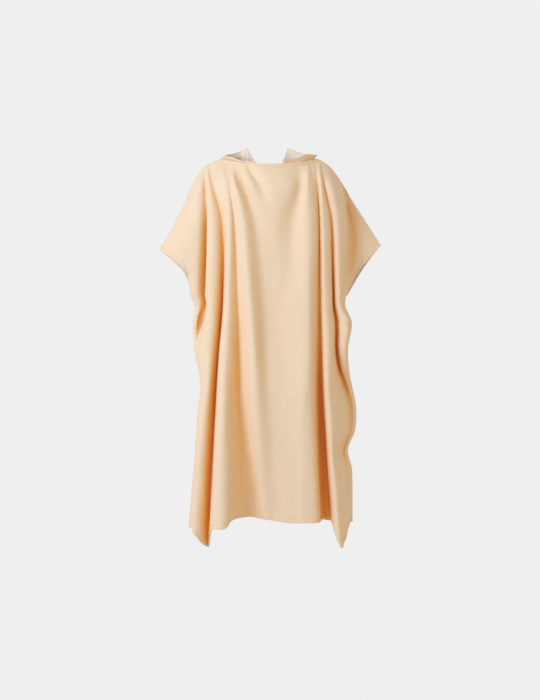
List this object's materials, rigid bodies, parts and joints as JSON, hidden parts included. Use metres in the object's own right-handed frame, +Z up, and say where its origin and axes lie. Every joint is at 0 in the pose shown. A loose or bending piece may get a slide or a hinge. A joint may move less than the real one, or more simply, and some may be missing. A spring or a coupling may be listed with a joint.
{
  "type": "hooded bath poncho",
  "caption": "Pull-on terry poncho with a thrown-back hood, wide open sleeves and side seams, hollow as it hangs from the shoulders",
  "frame": {"origin": "middle of the neck slit, at the height of its ends, where the shoulders carry the garment", "axes": "+Z up along the garment's length, -Y the front, +X the viewer's right from the front"},
  "size_m": [0.6632, 0.3237, 1.2045],
  "materials": {
    "body_cloth": "matt woven face in peach, cream terry inside",
    "hood_cloth": "matt woven face in peach, cream terry inside"
  },
  "bodies": {
    "root": {"front_panel": "body_cloth", "back_panel": "body_cloth", "hood_left": "hood_cloth", "hood_right": "hood_cloth"}
  },
  "joints": []
}
